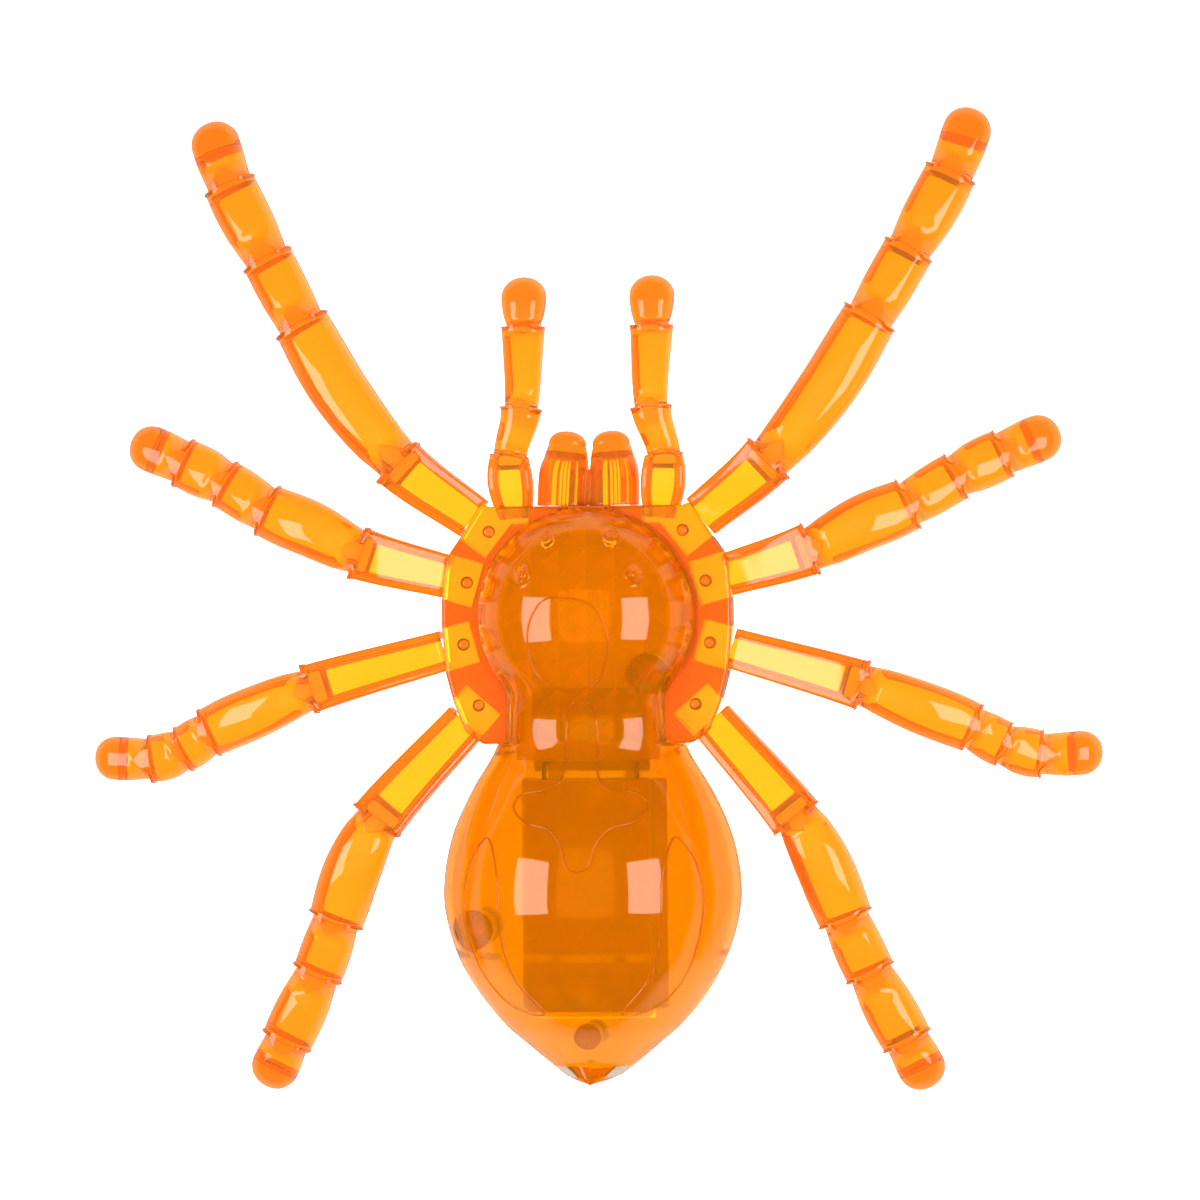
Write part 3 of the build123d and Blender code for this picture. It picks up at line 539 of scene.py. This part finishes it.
def shell_mesh():
    """Both faces of the shell, joined along the foot."""
    outer, inner = shell_surface(0), shell_surface(SHELL_WALL)
    rows, cols, start = len(shell_rows(0)), SHELL_STEPS + 1, len(outer)
    faces = []
    for offset in (0, start):
        for row in range(rows - 1):
            for col in range(cols - 1):
                a = offset + row * cols + col
                faces.append((a, a + 1, a + cols + 1, a + cols))
    for row in range(rows - 1):
        for col in (0, cols - 1):
            a = row * cols + col
            faces.append((a, a + cols, a + cols + start, a + start))
    return outer + inner, faces


verts, faces = shell_mesh()
make_object("top_shell_skin", verts, faces, shell_plastic, nodes=("top_shell",))


def surface_z(x, y):
    """Height of the outer shell above a point."""
    half, foot, top = body_section(y, 0)
    return foot + (top - foot) * sqrt(max(1 - (x / half) ** 2, 0.0))


def lathe(name, x, y, levels, material, nodes=()):
    """A turned solid on a vertical axis, from its (height, radius) pairs, closed at both ends."""
    verts, faces = [], []
    for z, radius in levels:
        for k in range(LATHE_SIDES):
            angle = 2 * pi * k / LATHE_SIDES
            verts.append((x + radius * cos(angle), y + radius * sin(angle), z))
    for row in range(len(levels) - 1):
        for k in range(LATHE_SIDES):
            a, b = row * LATHE_SIDES + k, row * LATHE_SIDES + (k + 1) % LATHE_SIDES
            faces.append((a, b, b + LATHE_SIDES, a + LATHE_SIDES))
    faces.append(tuple(range(LATHE_SIDES)))
    faces.append(tuple(range((len(levels) - 1) * LATHE_SIDES, len(levels) * LATHE_SIDES)))
    make_object(name, verts, faces, material, nodes=nodes)


def boss(name, x, y, radius):
    """A screw boss from the post's top up into the shell's wall."""
    base = POST_TOP + SEAT_GAP
    lowest = min(surface_z(x + radius * cos(angle), y + radius * sin(angle)) for angle in range(7))
    top = lowest - SHELL_WALL * BOSS_SINK
    levels = [(base, radius * 0.9), (base + BOSS_CHAMFER, radius), (top - BOSS_FLARE, radius),
              (top, radius * 1.1)]
    lathe(name, x, y, levels, shell_plastic)


for number, (girth, stations) in LEGS.items():
    x, y, _ = stations[0]
    run = hypot(stations[1][0] - x, stations[1][1] - y)
    x -= PEG_PLACE * (stations[1][0] - x) / run
    y -= PEG_PLACE * (stations[1][1] - y) / run
    for side, label in SIDES:
        lathe(f"{label}_leg_{number}_peg", side * x, y, PEG_LEVELS, limb_plastic,
              nodes=[f"{label}_leg_{number}"])

for number, (x, y, radius) in enumerate(SCREW_POSTS):
    boss(f"screw_boss_{number}", x, y, radius)


def loop_track(points):
    """Points in plan along a smooth closed curve through the given ones."""
    count = len(points)
    track = []
    for k in range(count):
        p0, p1, p2, p3 = (points[(k + j) % count] for j in (-1, 0, 1, 2))
        for step in range(LINE_STEPS):
            u = step / LINE_STEPS
            track.append([0.5 * (2 * p1[i] + (p2[i] - p0[i]) * u
                                 + (2 * p0[i] - 5 * p1[i] + 4 * p2[i] - p3[i]) * u * u
                                 + (3 * p1[i] - p0[i] - 3 * p2[i] + p3[i]) * u ** 3) for i in (0, 1)])
    return track


def raised_line(name, points):
    """A fine half-sunk bead that follows the shell in a closed loop."""
    curve = bpy.data.curves.new(name, "CURVE")
    curve.dimensions = "3D"
    curve.bevel_depth = LINE_RADIUS * MM
    curve.bevel_resolution = 3
    track = loop_track(points)
    spline = curve.splines.new("POLY")
    spline.points.add(len(track) - 1)
    for point, (x, y) in zip(spline.points, track):
        point.co = (x * MM, y * MM, (surface_z(x, y) + LINE_RADIUS * LINE_LIFT) * MM, 1)
    spline.use_cyclic_u = True
    line = bpy.data.objects.new(name, curve)
    scene.collection.objects.link(line)
    curve.materials.append(shell_plastic)
    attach(line, "spider")


raised_line("carapace_line", LOOP)
raised_line("saddle_line", LOBES + [(-x, y) for x, y in reversed(LOBES[1:-1])])
raised_line("right_side_line", SIDE_LOOP)
raised_line("left_side_line", [(-x, y) for x, y in SIDE_LOOP])


# ---------------------------------------------------------------- stage, lights and camera, in metres

FLOOR_SIZE = 6.0
FLOOR_DROP = 0.0002
FLOOR_GREY = 0.35
FLOOR_GLOW = 2.4
# Reflections see this weaker floor, or the shell's sides would turn white
REFLECTED_GLOW = 0.1
HORIZON_LIGHT = 0.35
ZENITH_LIGHT = 0.1
SOFTBOX_SIZE = (0.48, 0.62)
SOFTBOX_POWER = 4.5
FILL_POWER = 14
CAMERA_LEAN = 6.0
CAMERA_DISTANCE = 1.3
CAMERA_ROLL = -0.5
CAMERA_TARGET = Vector((0.0027, 0.0003, 0.01))
FRAME_WIDTH = 0.3107
SENSOR_MM = 36.0

floor_material, nodes, links, shader = new_material("floor")
shader.inputs["Base Color"].default_value = (FLOOR_GREY, FLOOR_GREY, FLOOR_GREY, 1)
shader.inputs["Roughness"].default_value = 0.9
shader.inputs["Emission Color"].default_value = (1, 1, 1, 1)
path = nodes.new("ShaderNodeLightPath")
mirrored = nodes.new("ShaderNodeMath")
mirrored.operation = "SUBTRACT"
mirrored.use_clamp = True
glow = nodes.new("ShaderNodeMapRange")
glow.inputs["To Min"].default_value = FLOOR_GLOW
glow.inputs["To Max"].default_value = REFLECTED_GLOW
links.new(path.outputs["Is Glossy Ray"], mirrored.inputs[0])
links.new(path.outputs["Is Transmission Ray"], mirrored.inputs[1])
links.new(mirrored.outputs["Value"], glow.inputs["Value"])
links.new(glow.outputs["Result"], shader.inputs["Emission Strength"])
bpy.ops.mesh.primitive_plane_add(size=FLOOR_SIZE, location=(0, 0, -FLOOR_DROP))
floor = bpy.context.object
floor.name = "floor"
floor.data.materials.append(floor_material)

world = bpy.data.worlds.new("studio")
scene.world = world
world.use_nodes = True
sky = world.node_tree.nodes
way = sky.new("ShaderNodeTexCoord")
split = sky.new("ShaderNodeSeparateXYZ")
fade = sky.new("ShaderNodeMapRange")
fade.interpolation_type = "SMOOTHSTEP"
fade.inputs["From Min"].default_value = 0.1
fade.inputs["From Max"].default_value = 0.75
fade.inputs["To Min"].default_value = HORIZON_LIGHT
fade.inputs["To Max"].default_value = ZENITH_LIGHT
world.node_tree.links.new(way.outputs["Generated"], split.inputs["Vector"])
world.node_tree.links.new(split.outputs["Z"], fade.inputs["Value"])
world.node_tree.links.new(fade.outputs["Result"], sky["Background"].inputs["Strength"])


def softbox(name, angle, distance, size, power, y):
    """A rectangular soft light that faces the object, at an angle from the vertical."""
    light = bpy.data.lights.new(name, "AREA")
    light.shape = "RECTANGLE"
    light.size, light.size_y = size
    light.energy = power
    lamp = bpy.data.objects.new(name, light)
    scene.collection.objects.link(lamp)
    lamp.location = (distance * sin(radians(angle)), y, distance * cos(radians(angle)))
    lamp.rotation_euler = (0, radians(angle), 0)
    return lamp


softbox("left_softbox", -42, 1.0, SOFTBOX_SIZE, SOFTBOX_POWER, -0.05)
softbox("right_softbox", 46, 1.0, SOFTBOX_SIZE, SOFTBOX_POWER, -0.05)
overhead = softbox("overhead_fill", 0, 1.2, (1.0, 1.0), FILL_POWER, 0.0)
overhead.visible_glossy = False

camera_data = bpy.data.cameras.new("camera")
camera = bpy.data.objects.new("camera", camera_data)
scene.collection.objects.link(camera)
lean = radians(CAMERA_LEAN)
camera.location = CAMERA_TARGET + Vector((sin(lean), 0, cos(lean))) * CAMERA_DISTANCE
turn = Matrix.Rotation(lean, 3, "Y") @ Matrix.Rotation(radians(CAMERA_ROLL), 3, "Z")
camera.rotation_euler = turn.to_euler()
camera_data.sensor_width = SENSOR_MM
camera_data.lens = SENSOR_MM * CAMERA_DISTANCE / FRAME_WIDTH
scene.camera = camera

scene.view_settings.view_transform = "Standard"
scene.cycles.max_bounces = 24
scene.cycles.transmission_bounces = 20
scene.cycles.transparent_max_bounces = 12
scene.cycles.caustics_refractive = True
